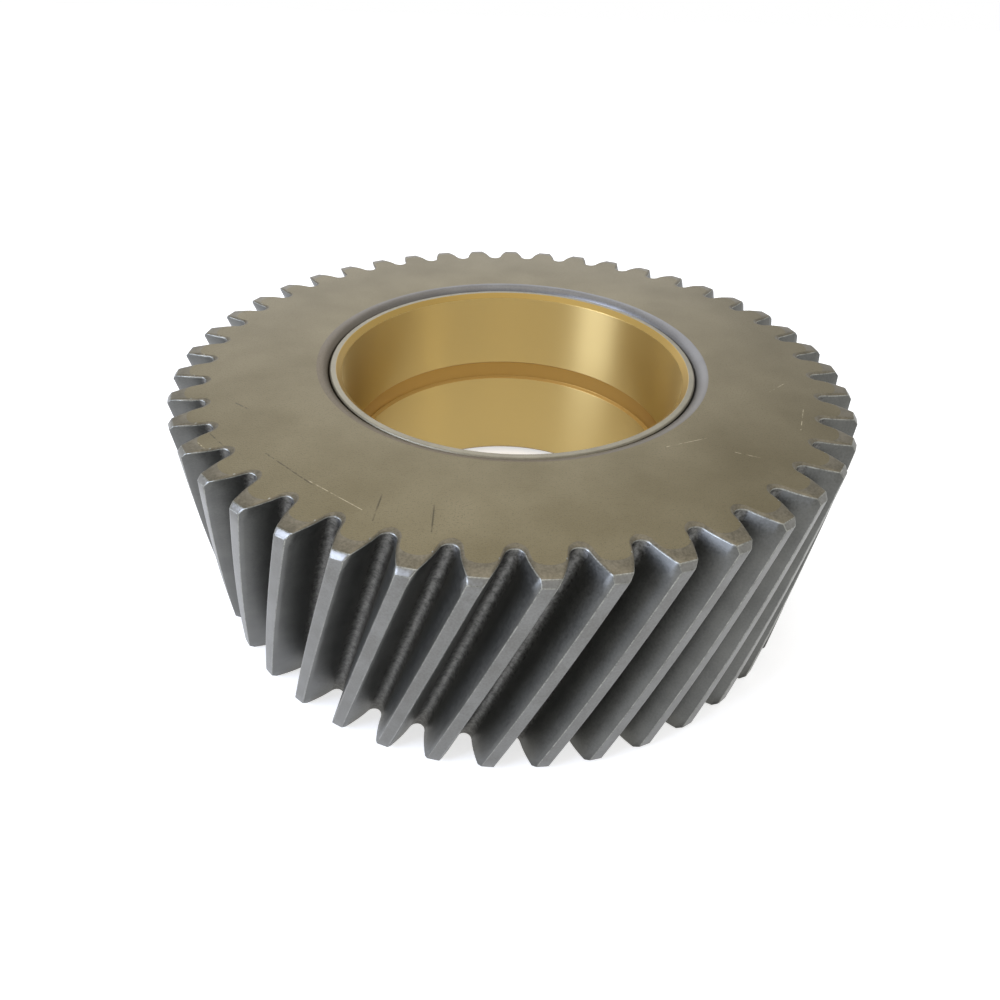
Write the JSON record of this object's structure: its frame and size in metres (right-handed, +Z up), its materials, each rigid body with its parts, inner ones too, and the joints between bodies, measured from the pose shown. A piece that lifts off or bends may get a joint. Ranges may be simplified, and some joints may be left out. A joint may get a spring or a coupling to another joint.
{
  "type": "helical gear",
  "caption": "Wide helical gear with bevelled tooth ends and a plain bearing bush pressed into its large bore, lying flat.",
  "frame": {"origin": "where the bore axis meets the lower end face of the gear", "axes": "+Z up along the bore axis; +X through the middle of a tooth at the lower face"},
  "size_m": [0.1432, 0.1432, 0.051],
  "materials": {
    "gear_steel": "ground and turned steel, satin, lightly oiled",
    "bush_bronze": "steel-backed bronze bush, bore finely turned"
  },
  "bodies": {
    "root": {"helical_gear": "gear_steel", "bush": "bush_bronze"}
  },
  "joints": []
}
